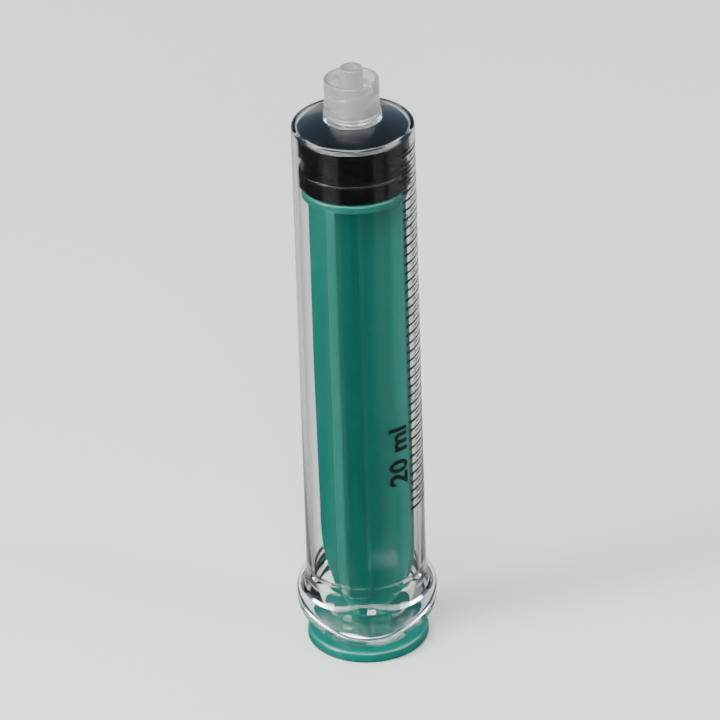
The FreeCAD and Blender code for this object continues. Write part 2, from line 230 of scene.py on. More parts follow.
def place_key(place: Vector) -> tuple[float, ...]:
    """A place rounded off, so that a vertex can be found by it."""
    return tuple(round(value, 9) for value in place)


def fuse(piece: Piece, other: Piece) -> None:
    """Join another closed piece to this one as one skin, and drop the other."""
    apply_modifier(piece, "BOOLEAN", operation="UNION", solver="EXACT", object=other)
    bpy.data.objects.remove(other)


def join(pieces: Sequence[Piece]) -> Piece:
    """Make several pieces one object, under the first one's name."""
    make_active(pieces[0])
    for piece in pieces:
        piece.select_set(True)
    bpy.ops.object.join()
    return pieces[0]


def shade(piece: Piece, degrees: float = 32.0) -> None:
    """Smooth the shading across every edge flatter than an angle."""
    make_active(piece)
    bpy.ops.object.shade_smooth_by_angle(angle=math.radians(degrees))


def dress(piece: Piece, material: Material) -> None:
    """Give a piece one material all over."""
    piece.data.materials.clear()
    piece.data.materials.append(material)
    for polygon in piece.data.polygons:
        polygon.material_index = 0


def triangles(piece: Piece) -> int:
    """How many triangles the piece's faces come to."""
    return sum(len(polygon.vertices) - 2 for polygon in piece.data.polygons)


# Finishes


class Nodes:
    """A short hand for building one node tree."""

    def __init__(self, tree: Tree) -> None:
        """Start on a tree, emptied."""
        self.tree = tree
        tree.nodes.clear()

    def add(self, kind: str, **settings: object) -> Node:
        """Add a node and set its properties; a key of inputs sets sockets.

        Args:
            kind: Blender's name for the node.
            settings: properties by name, and inputs, a dictionary of socket name or number to value.

        Returns:
            The new node.
        """
        node = self.tree.nodes.new(kind)
        inputs = settings.pop("inputs", {})
        for name, value in settings.items():
            setattr(node, name, value)
        for name, value in inputs.items():
            if isinstance(value, Socket):
                self.link(value, node.inputs[name])
            else:
                node.inputs[name].default_value = value
        return node

    def link(self, source: Socket, target: Socket) -> None:
        """Join two sockets."""
        self.tree.links.new(source, target)

    def maths(self, operation: str, first: object, second: object = 0.0) -> Socket:
        """The result of one Math node on two numbers or sockets."""
        return self.add("ShaderNodeMath", operation=operation, inputs={0: first, 1: second}).outputs[0]

    def times(self, first: object, second: object) -> Socket:
        """The product of two numbers or sockets."""
        return self.maths("MULTIPLY", first, second)

    def ramp(self, value: object, low: object, high: object, to_low: float = 0.0,
             to_high: float = 1.0) -> Socket:
        """A value mapped smoothly, so that low gives to_low and high gives to_high, and kept between them."""
        inputs = {"Value": value, "From Min": low, "From Max": high, "To Min": to_low, "To Max": to_high}
        return self.add("ShaderNodeMapRange", interpolation_type="SMOOTHSTEP", inputs=inputs).outputs[0]

    def mix(self, factor: object, first: object, second: object) -> Socket:
        """A mix of two colours: factor 0 gives the first and 1 the second."""
        return self.add("ShaderNodeMix", data_type="RGBA", inputs={0: factor, 6: first, 7: second}).outputs[2]

    def blend(self, factor: object, first: object, second: object) -> Socket:
        """A mix of two numbers: factor 0 gives the first and 1 the second."""
        return self.add("ShaderNodeMix", inputs={0: factor, 2: first, 3: second}).outputs[0]

    def place(self) -> Socket:
        """Where a point lies in its own piece's coordinates."""
        return self.add("ShaderNodeTexCoord").outputs["Object"]

    def noise(self, vector: Socket, scale: object, detail: float,
              **inputs: object) -> Socket:
        """Noise at a vector; inputs sets more of the node's sockets."""
        inputs.update(Vector=vector, Scale=scale, Detail=detail)
        return self.add("ShaderNodeTexNoise", inputs=inputs).outputs[0]

    def bump(self, height: Socket, strength: float, depth: float) -> Socket:
        """The normal that a height gives the surface, with its depth in metres."""
        inputs = {"Strength": strength, "Distance": depth, "Height": height}
        return self.add("ShaderNodeBump", inputs=inputs).outputs[0]

    def effect(self, tree: Tree, **inputs: float) -> Socket:
        """A shared effect's result; inputs sets its sockets, with an underscore for a space in a name."""
        values = {name.replace("_", " "): value for name, value in inputs.items()}
        return self.add("ShaderNodeGroup", node_tree=tree, inputs=values).outputs[0]

    def surface(self, shader: Node, kind: str = "ShaderNodeOutputMaterial") -> None:
        """Make a shader the tree's surface."""
        self.link(shader.outputs[0], self.add(kind).inputs["Surface"])


class Effects:
    """Surface effects that several finishes share, each a node group built once."""

    fine_share = 0.4
    speck_share = 0.18
    flat = 0.5

    def __init__(self) -> None:
        """Build every group."""
        self.grain = self._grain()
        self.flow = self._flow()
        self.smears = self._smears()
        self.dust = self._dust()
        self.edge_highlight = self._edge_highlight()

    @staticmethod
    def _start(name: str, inputs: dict[str, float]) -> tuple[Nodes, Node, Socket]:
        """Start a node group with number inputs.

        Args:
            name: the group's name.
            inputs: socket names with their usual values.

        Returns:
            The group's builder, its input node and the place on the piece.
        """
        tree = bpy.data.node_groups.new(name, "ShaderNodeTree")
        for given, usual in inputs.items():
            socket = tree.interface.new_socket(name=given, in_out="INPUT", socket_type="NodeSocketFloat")
            socket.default_value = usual
        nodes = Nodes(tree)
        return nodes, nodes.add("NodeGroupInput"), nodes.place()

    @staticmethod
    def _end(nodes: Nodes, name: str, result: Socket) -> Tree:
        """Give a group its one number output."""
        nodes.tree.interface.new_socket(name=name, in_out="OUTPUT", socket_type="NodeSocketFloat")
        nodes.link(result, nodes.add("NodeGroupOutput").inputs[name])
        return nodes.tree

    def _grain(self) -> Tree:
        """Height of the fine texture that a mould leaves; Scale is grains per metre."""
        nodes, given, place = self._start("mould_grain", {"Scale": 4000.0, "Coarse": 700.0})
        fine = nodes.noise(place, given.outputs["Scale"], 3.0, Roughness=0.6)
        broad = nodes.noise(place, given.outputs["Coarse"], 2.0)
        return self._end(nodes, "Height", nodes.blend(self.fine_share, broad, fine))

    def _flow(self) -> Tree:
        """Faint streaks along Z, as plastic leaves when it fills a long mould."""
        nodes, given, place = self._start("flow_streaks", {"Across": 500.0, "Along": 30.0})
        across = given.outputs["Across"]
        stretch = nodes.add("ShaderNodeCombineXYZ", inputs={0: across, 1: across, 2: given.outputs["Along"]})
        stretched = nodes.add("ShaderNodeVectorMath", operation="MULTIPLY",
                              inputs={0: place, 1: stretch.outputs[0]}).outputs[0]
        streaks = nodes.ramp(nodes.noise(stretched, 1.0, 3.0, Distortion=0.4), 0.35, 0.7)
        return self._end(nodes, "Mask", streaks)

    def _smears(self) -> Tree:
        """Soft patches where the surface has been handled; Cover lowers the noise at which one starts."""
        nodes, given, place = self._start("handling_smears", {"Scale": 90.0, "Cover": 0.5})
        patches = nodes.noise(place, given.outputs["Scale"], 4.0, Distortion=1.2)
        low = nodes.maths("SUBTRACT", 0.72, nodes.times(given.outputs["Cover"], 0.3))
        return self._end(nodes, "Mask", nodes.ramp(patches, low, nodes.maths("ADD", low, 0.16)))

    def _dust(self) -> Tree:
        """Sparse pale specks; Size is a share of the space between them."""
        nodes, given, place = self._start("dust_specks", {"Scale": 900.0, "Size": 0.1})
        cells = nodes.add("ShaderNodeTexVoronoi", feature="F1",
                          inputs={"Vector": place, "Scale": given.outputs["Scale"]})
        near = nodes.maths("LESS_THAN", cells.outputs["Distance"], given.outputs["Size"])
        picked = nodes.add("ShaderNodeSeparateColor", inputs={0: cells.outputs["Color"]}).outputs[0]
        rare = nodes.maths("GREATER_THAN", picked, 1.0 - self.speck_share)
        return self._end(nodes, "Mask", nodes.times(near, rare))

    def _edge_highlight(self) -> Tree:
        """Painted highlight on the sharp outer edges, broken up by noise."""
        nodes, given, place = self._start("painted_edge_highlight", {"Sharpness": 0.06, "Break Up": 0.5})
        # Painted highlight: the mask is high on sharp convex edges, where light would catch them.
        convex = nodes.add("ShaderNodeNewGeometry").outputs["Pointiness"]
        high = nodes.maths("ADD", self.flat, given.outputs["Sharpness"])
        highlit = nodes.ramp(convex, self.flat + 0.005, high)
        holes = nodes.ramp(nodes.noise(place, 600.0, 3.0), 0.35, 0.65)
        kept = nodes.maths("SUBTRACT", 1.0, nodes.times(holes, given.outputs["Break Up"]))
        return self._end(nodes, "Mask", nodes.times(highlit, kept))


def new_material(name: str) -> tuple[Material, Nodes]:
    """Start a node material, and give it with the builder of its nodes."""
    material = bpy.data.materials.new(name)
    material.use_nodes = True
    return material, Nodes(material.node_tree)


@dataclass(frozen=True)
class Finish:
    """What every finish shares: a roughness that smears raise, and the grain of its mould.

    The smears are their scale and cover. The grain is its fine and coarse scale, its strength and its depth
    in metres.
    """

    name: str
    rough: float
    smeared_rough: float
    smears: Pair
    grain: Grain

    def shader(self, nodes: Nodes, effects: Effects, smears: Socket, shared: Look) -> Node:
        """The finish's own shader.

        Args:
            nodes: the material's builder.
            effects: the shared surface effects.
            smears: where the surface has been handled.
            shared: the roughness and the normal.

        Returns:
            The shader.
        """
        raise NotImplementedError

    def build(self, effects: Effects) -> Material:
        """Make the material.

        Args:
            effects: the shared surface effects.

        Returns:
            The material.
        """
        material, nodes = new_material(self.name)
        scale, cover = self.smears
        smears = nodes.effect(effects.smears, Scale=scale, Cover=cover)
        rough = nodes.maths("ADD", self.rough, nodes.times(smears, self.smeared_rough))
        fine, coarse, strength, depth = self.grain
        height = nodes.effect(effects.grain, Scale=fine, Coarse=coarse)
        shared = {"Roughness": rough, "Normal": nodes.bump(height, strength, depth)}
        nodes.surface(self.shader(nodes, effects, smears, shared))
        return material


@dataclass(frozen=True)
class ClearPlastic(Finish):
    """Clear polypropylene: it bends light, shines, and can be milky where it is thick."""

    smeared_rough: float = 0.06
    smears: Pair = (120.0, 0.45)
    grain: Grain = (1500.0, 160.0, 0.045, 0.00004)
    tint: Colour = (0.85, 0.855, 0.845, 1.0)
    transmission: float = 1.0
    mirror_tint: Colour = (0.7, 0.7, 0.72, 1.0)
    open_tint: Colour = (0.93, 0.95, 0.95, 1.0)
    streaks_rough: float = 0.02

    def shader(self, nodes: Nodes, effects: Effects, smears: Socket, shared: Look) -> Node:
        """Glass that lets the lamps' light straight through."""
        flow = nodes.effect(effects.flow, Across=420.0, Along=22.0)
        rough = nodes.maths("ADD", shared["Roughness"], nodes.times(flow, self.streaks_rough))
        plastic = nodes.add("ShaderNodeBsdfPrincipled", inputs={
            **shared, "Roughness": rough, "Base Color": self.tint, "IOR": 1.49,
            "Transmission Weight": self.transmission, "Specular Tint": self.mirror_tint})
        open_air = nodes.add("ShaderNodeBsdfTransparent", inputs={"Color": self.open_tint})
        path = nodes.add("ShaderNodeLightPath")
        lamp_ray = nodes.maths("MAXIMUM", path.outputs["Is Shadow Ray"], path.outputs["Is Diffuse Ray"])
        return nodes.add("ShaderNodeMixShader", inputs={
            0: lamp_ray, 1: plastic.outputs[0], 2: open_air.outputs[0]})


@dataclass(frozen=True)
class GreenPlastic(Finish):
    """Green polypropylene of the rod: satin, a little translucent, with a paler painted highlight on its
    sharp edges.
    """

    name: str = "green_polypropylene"
    rough: float = 0.3
    smeared_rough: float = 0.14
    smears: Pair = (150.0, 0.6)
    grain: Grain = (5200.0, 520.0, 0.12, 0.00005)
    base: Colour = (0.003, 0.125, 0.095, 1.0)
    deep: Colour = (0.001, 0.09, 0.068, 1.0)
    # Paler green of the painted edge highlight; the share below sets how much of it the edges take.
    highlight_colour: Colour = (0.03, 0.22, 0.18, 1.0)
    streaks: float = 0.55
    highlight_share: float = 0.6

    def shader(self, nodes: Nodes, effects: Effects, smears: Socket, shared: Look) -> Node:
        """Streaked plastic that lets a little light in, with a paler painted highlight on its sharp edges."""
        flow = nodes.effect(effects.flow, Across=380.0, Along=26.0)
        # Painted highlight: sharp convex edges are mixed towards a paler green.
        edges = nodes.effect(effects.edge_highlight, Sharpness=0.08, Break_Up=0.45)
        body = nodes.mix(nodes.times(flow, self.streaks), self.base, self.deep)
        colour = nodes.mix(nodes.times(edges, self.highlight_share), body, self.highlight_colour)
        return nodes.add("ShaderNodeBsdfPrincipled", inputs={
            **shared, "Base Color": colour, "IOR": 1.49, "Specular IOR Level": 0.5,
            "Subsurface Weight": 0.08, "Subsurface Scale": 0.0012, "Subsurface Radius": (0.2, 1.0, 0.8)})


@dataclass(frozen=True)
class BlackRubber(Finish):
    """Black moulded rubber, wetted with silicone so that it shines softly."""

    name: str = "black_rubber"
    rough: float = 0.19
    smeared_rough: float = 0.1
    smears: Pair = (200.0, 0.5)
    grain: Grain = (6000.0, 900.0, 0.12, 0.00004)
    base: Colour = (0.0015, 0.0015, 0.0018, 1.0)
    # Paler colour for the bloom on smears and specks, and for the painted sheen on sharp edges.
    bloom_and_sheen: Colour = (0.006, 0.006, 0.0065, 1.0)
    smeared_bloom: float = 0.5
    edge_sheen: float = 0.4

    def shader(self, nodes: Nodes, effects: Effects, smears: Socket, shared: Look) -> Node:
        """Rubber with a faint bloom on smears and specks, and a faint painted sheen on its sharp edges."""
        specks = nodes.effect(effects.dust, Scale=1500.0, Size=0.07)
        # Painted sheen: sharp convex edges are mixed a little towards the paler colour, along with the smears
        # and specks.
        edges = nodes.effect(effects.edge_highlight, Sharpness=0.1, Break_Up=0.6)
        bloom_and_sheen_mask = nodes.maths("ADD", nodes.times(smears, self.smeared_bloom),
                           nodes.times(edges, self.edge_sheen))
        colour = nodes.mix(nodes.maths("MAXIMUM", bloom_and_sheen_mask, specks), self.base, self.bloom_and_sheen)
        return nodes.add("ShaderNodeBsdfPrincipled", inputs={
            **shared, "Base Color": colour, "IOR": 1.52, "Specular IOR Level": 0.38})


@dataclass(frozen=True)
class ScaleInk(Finish):
    """Black printing ink, a little thin in places."""

    name: str = "scale_ink"
    rough: float = 0.38
    smeared_rough: float = 0.15
    smears: Pair = (1400.0, 0.5)
    grain: Grain = (7000.0, 2500.0, 0.2, 0.00001)
    full: Colour = (0.003, 0.0035, 0.004, 1.0)
    thin: Colour = (0.03, 0.033, 0.035, 1.0)
    thinning: float = 0.7

    def shader(self, nodes: Nodes, effects: Effects, smears: Socket, shared: Look) -> Node:
        """Ink that thins where it is smeared."""
        colour = nodes.mix(nodes.times(smears, self.thinning), self.full, self.thin)
        return nodes.add("ShaderNodeBsdfPrincipled", inputs={
            **shared, "Base Color": colour, "Specular IOR Level": 0.3})


@dataclass(frozen=True)
class StudioFloor:
    """Plain pale floor, which shines back from glossy pieces only where white cards would stand.

    A card is its first and last bearing from the camera's side, in degrees, and its strength. The cards
    behind light up the tube's walls, and take their bearing from the tube's nearer edge, not its axis.
    """

    pale: Colour = (0.83, 0.83, 0.822, 1.0)
    grey: Colour = (0.79, 0.79, 0.784, 1.0)
    bounce: float = 0.36
    mirrored: float = 0.01
    front_cards: Cards = ((-64.0, -30.0, 0.07), (36.0, 58.0, 0.05), (66.0, 104.0, 0.08), (112.0, 134.0, 0.07))
    back_cards: Cards = ((-174.0, -131.0, 0.21), (135.0, 174.0, 0.23))
    card_edge: float = 4.0
    tube_edge: float = 0.0103

    def within(self, nodes: Nodes, bearing: Socket, first: float,
               last: float) -> Socket:
        """1 between two bearings, with a soft fall to 0 at each."""
        edge = self.card_edge
        rise = nodes.ramp(bearing, math.radians(first - edge), math.radians(first + edge))
        fall = nodes.ramp(bearing, math.radians(last - edge), math.radians(last + edge), 1.0, 0.0)
        return nodes.times(rise, fall)

    def build(self) -> Material:
        """Make the material."""
        material, nodes = new_material("studio_floor")
        place = nodes.place()
        colour = nodes.mix(nodes.noise(place, 9.0, 3.0), self.pale, self.grey)
        parts = nodes.add("ShaderNodeSeparateXYZ", inputs={0: place})
        across = parts.outputs[0]
        back = nodes.times(parts.outputs[1], -1.0)
        under_tube = nodes.maths("MAXIMUM", nodes.maths("MINIMUM", across, self.tube_edge), -self.tube_edge)
        from_edge = nodes.maths("ARCTAN2", nodes.maths("SUBTRACT", across, under_tube), back)
        from_axis = nodes.maths("ARCTAN2", across, back)
        strength = self.mirrored
        for bearing, cards in ((from_axis, self.front_cards), (from_edge, self.back_cards)):
            for first, last, power in cards:
                card = nodes.times(self.within(nodes, bearing, first, last), power)
                strength = nodes.maths("ADD", strength, card)
        path = nodes.add("ShaderNodeLightPath")
        mirrored = nodes.maths("GREATER_THAN", path.outputs["Glossy Depth"], 0.5)
        bounced = nodes.blend(path.outputs["Is Diffuse Ray"], 1.0, self.bounce)
        share = nodes.blend(mirrored, bounced, strength)
        shown = nodes.add("ShaderNodeVectorMath", operation="SCALE", inputs={0: colour, "Scale": share})
        nodes.surface(nodes.add("ShaderNodeBsdfDiffuse", inputs={"Color": shown.outputs[0]}))
        return material


# Pieces


@dataclass
class Barrel:
    """The clear moulding: tube, coned end, lock collar, luer tip, flared root and finger flange."""

    clear: Material
    milky: Material
    tube_radius: float = 10.6
    wall: float = 1.0
    end_wall: float = 1.2
    nose_rise: float = 2.0
    foot_ring_radius: float = 4.95
    foot_ring_height: float = 0.6
    collar_radius: float = 4.75
    collar_height: float = 6.5
    thread_root: float = 4.05
    thread_depth: float = 0.45
    thread_lead: float = 5.0
    thread_foot: float = 1.1
    thread_crest: float = 0.5
    thread_margin: float = 0.45
    thread_starts: int = 2
    thread_steps: int = 80
    luer_end: float = 1.98
    luer_taper: float = 0.06
    luer_projection: float = 2.1
    lumen: float = 1.1
    flare_height: float = 4.1
    flare_radius: float = 11.8
    flange_thickness: float = 2.5
    wing_end_radius: float = 8.0
    wing_thinning: float = 0.8
    rim_loop_inset: float = 1.6
    mouth_bevel: float = 0.6
    bead_height: float = 0.25
    bead_half_length: float = 0.9
    bead_peak: float = 14.4
    edge_rounding: float = 0.45
    milky_above: float = 0.02
    low: Vector = field(init=False)
    high: Vector = field(init=False)

    def __post_init__(self) -> None:
        """Read the moulding's reach from the frame."""
        self.low, self.high = node_box("barrel")

    @property
    def collar_top(self) -> float:
        """Height of the collar's rim."""
        return self.high.z - self.luer_projection

    @property
    def nose_top(self) -> float:
        """Height where the coned end meets the collar."""
        return self.collar_top - self.collar_height

    @property
    def shoulder(self) -> float:
        """Height where the coned end would meet the tube."""
        return self.nose_top - self.nose_rise

    @property
    def bore(self) -> float:
        """Radius of the bore."""
        return self.tube_radius - self.wall

    def outline(self) -> list[Corner]:
        """The moulding's outline, up the outside from the mouth and back down the bore."""
        back = self.low.z
        front = back + self.flange_thickness
        flare_top = front + self.flare_height
        rim = self.high.y
        rim_loop = rim - self.rim_loop_inset
        edge = self.edge_rounding
        tube, bore, ring, root = self.tube_radius, self.bore, self.foot_ring_radius, self.thread_root
        collar, nose, end = self.collar_radius, self.nose_top, self.high.z
        rise = self.flare_radius - tube
        flare_arc = (rise ** 2 + self.flare_height ** 2) / (2 * rise)
        slope = self.nose_rise / (tube - ring)
        bore_top = nose - self.end_wall
        bore_corner = self.shoulder + slope * self.wall - self.end_wall
        luer_foot = self.luer_end + (end - nose) * self.luer_taper / 2
        flare = []
        flare_steps = 10
        for step in range(flare_steps + 1):
            drop = self.flare_height * (1 - step / flare_steps)
            flare.append(Corner(tube + flare_arc - math.sqrt(flare_arc ** 2 - drop ** 2), flare_top - drop))
        return [
            Corner(bore + self.mouth_bevel, back, 0.15),
            Corner(rim_loop, back),
            Corner(rim, back, edge),
            Corner(rim, front, edge + 0.2),
            Corner(rim_loop, front),
            *flare,
            Corner(tube, (flare_top + self.shoulder) / 2),
            Corner(tube, self.shoulder, 0.75),
            Corner(ring, nose, 0.12),
            Corner(ring, nose + self.foot_ring_height, 0.12),
            Corner(collar, nose + self.foot_ring_height, 0.06),
            Corner(collar, self.collar_top, 0.22),
            Corner(root, self.collar_top, 0.2),
            Corner(root, nose, 0.3),
            Corner(luer_foot, nose, 0.3),
            Corner(self.luer_end, end, 0.2),
            Corner(self.lumen, end, 0.12),
            Corner(self.lumen, bore_top, 0.25),
            Corner(ring, bore_top, 0.4),
            Corner(bore, bore_corner, 0.4),
            Corner(bore, self.bead_peak + self.bead_half_length, 0.3),
            Corner(bore - self.bead_height, self.bead_peak, 0.3),
            Corner(bore, self.bead_peak - self.bead_half_length, 0.3),
            Corner(bore, back + self.mouth_bevel, 0.2),
        ]

    def wing_reach(self, angle: float) -> float:
        """How far the flange's rim stands from the axis.

        Args:
            angle: direction about Z, from +X, in radians.

        Returns:
            The rim's radius there, in millimetres.
        """
        half_width = self.high.x
        end = self.wing_end_radius
        centre = self.high.y - end
        side = (centre ** 2 + half_width ** 2 - end ** 2) / (2 * (half_width - end))
        across = abs(math.cos(angle))
        along = abs(math.sin(angle))
        if math.atan2(along, across) > math.atan2(side * centre, (side - half_width) * end):
            shift, radius, share = centre, end, along
        else:
            shift, radius, share = half_width - side, side, across
        return shift * share + math.sqrt(radius ** 2 - shift ** 2 * (1 - share ** 2))

    def draw_in_wings(self, piece: Piece) -> None:
        """Draw the round flange in to its two wings, and thin them towards their ends."""
        back = self.low.z
        front = back + self.flange_thickness
        inner = self.flare_radius
        rim_band = 0.6
        band_slack = 0.06
        hair = 0.01
        most = 0.95
        for vertex in piece.data.vertices:
            place = vertex.co / MM
            radius = math.hypot(place.x, place.y)
            if place.z > front + hair or radius < inner + hair:
                continue
            angle = math.atan2(place.y, place.x)
            rim = self.wing_reach(angle)
            from_rim = self.high.y - radius
            if from_rim <= rim_band + band_slack:
                drawn = rim - min(from_rim, (rim - inner) * most)
            else:
                drawn = (inner + rim - rim_band) / 2
            thin = self.wing_thinning * max(0.0, drawn - self.high.x) / (self.high.y - self.high.x)
            height = back + (place.z - back) * (1 - thin / self.flange_thickness)
            vertex.co = Vector((math.cos(angle) * drawn, math.sin(angle) * drawn, height)) * MM

    def thread_ridge(self, number: int) -> Piece:
        """One start of the lock thread, a ridge that climbs the collar's inner wall.

        Args:
            number: which start it is, from 0.

        Returns:
            The closed ridge.
        """
        wall = self.thread_root + (self.collar_radius - self.thread_root) / 3
        crest = self.thread_root - self.thread_depth
        flank = (self.thread_foot - self.thread_crest) / 2
        low = self.nose_top + self.thread_margin
        high = low + self.thread_foot
        section = [
            Vector((wall, 0, low)),
            Vector((wall, 0, high)),
            Vector((self.thread_root, 0, high)),
            Vector((crest, 0, high - flank)),
            Vector((crest, 0, low + flank)),
            Vector((self.thread_root, 0, low)),
        ]
        climb = self.collar_height - self.thread_foot - 2 * self.thread_margin
        turned = 2 * math.pi * climb / self.thread_lead
        piece = draw_outline(f"thread_ridge_{number}", section)
        apply_modifier(piece, "SCREW", angle=turned, screw_offset=climb * MM, steps=self.thread_steps,
                       render_steps=self.thread_steps, axis="Z", use_merge_vertices=False)
        bpy.ops.object.mode_set(mode="EDIT")
        mesh = bmesh.from_edit_mesh(piece.data)
        open_edges = [edge for edge in mesh.edges if edge.is_boundary]
        bmesh.ops.holes_fill(mesh, edges=open_edges, sides=len(section))
        bmesh.update_edit_mesh(piece.data)
        face_outwards()
        piece.data.transform(Matrix.Rotation(2 * math.pi * number / self.thread_starts, 4, "Z"))
        return piece

    def build(self) -> Piece:
        """Turn the moulding, draw in its wings, add the thread and dress it.

        Returns:
            The finished piece.
        """
        piece = turn("barrel_moulding", self.outline())
        self.draw_in_wings(piece)
        for number in range(self.thread_starts):
            fuse(piece, self.thread_ridge(number))
        shade(piece)
        dress(piece, self.clear)
        piece.data.materials.append(self.milky)
        for polygon in piece.data.polygons:
            if polygon.center.z > (self.nose_top + self.milky_above) * MM:
                polygon.material_index = 1
        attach(piece, Body.BARREL.value)
        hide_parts("barrel")
        return piece


@dataclass
class Stopper:
    """The black rubber: coned front, two ribs, the groove between them and the cavity behind."""

    material: Material
    rib_depth: float = 0.47
    rear_rib: Pair = (91.6, 94.1)
    front_rib: Pair = (97.4, 100.3)
    front_edge: float = 100.83
    flat_radius: float = 4.95
    rib_rounding: float = 0.03
    neck: float = 3.25
    button: float = 5.05
    button_top: float = 2.25
    lip_top: float = 92.8
    button_edge_top: float = 94.4
    cavity_top: float = 97.2

    def outline(self) -> list[Corner]:
        """The rubber's outline, up the outside and down the cavity."""
        low, high = node_box("stopper")
        rib, edge = high.x, self.rib_rounding
        groove = rib - self.rib_depth
        rear_low, rear_high = self.rear_rib
        front_low, front_high = self.front_rib
        return [
            Corner(self.neck, low.z, 0.2),
            Corner(groove, low.z, 0.3),
            Corner(groove, rear_low, 0.12),
            Corner(rib, rear_low, edge),
            Corner(rib, rear_high, edge),
            Corner(groove, rear_high, 0.12),
            Corner(groove, front_low, 0.12),
            Corner(rib, front_low, edge),
            Corner(rib, front_high, edge),
            Corner(groove, self.front_edge, 0.2),
            Corner(self.flat_radius, high.z, 0.8),
            Corner(0.0, high.z),
            Corner(0.0, self.cavity_top),
            Corner(self.button_top, self.cavity_top, 0.5),
            Corner(self.button, self.button_edge_top, 0.3),
            Corner(self.button, self.lip_top, 0.1),
            Corner(self.neck, self.lip_top, 0.2),
        ]

    def build(self) -> Piece:
        """Turn the rubber and dress it.

        Returns:
            The finished piece.
        """
        piece = turn("rubber_stopper", self.outline(), steps=160)
        shade(piece)
        dress(piece, self.material)
        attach(piece, Body.STOPPER.value)
        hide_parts("stopper")
        return piece


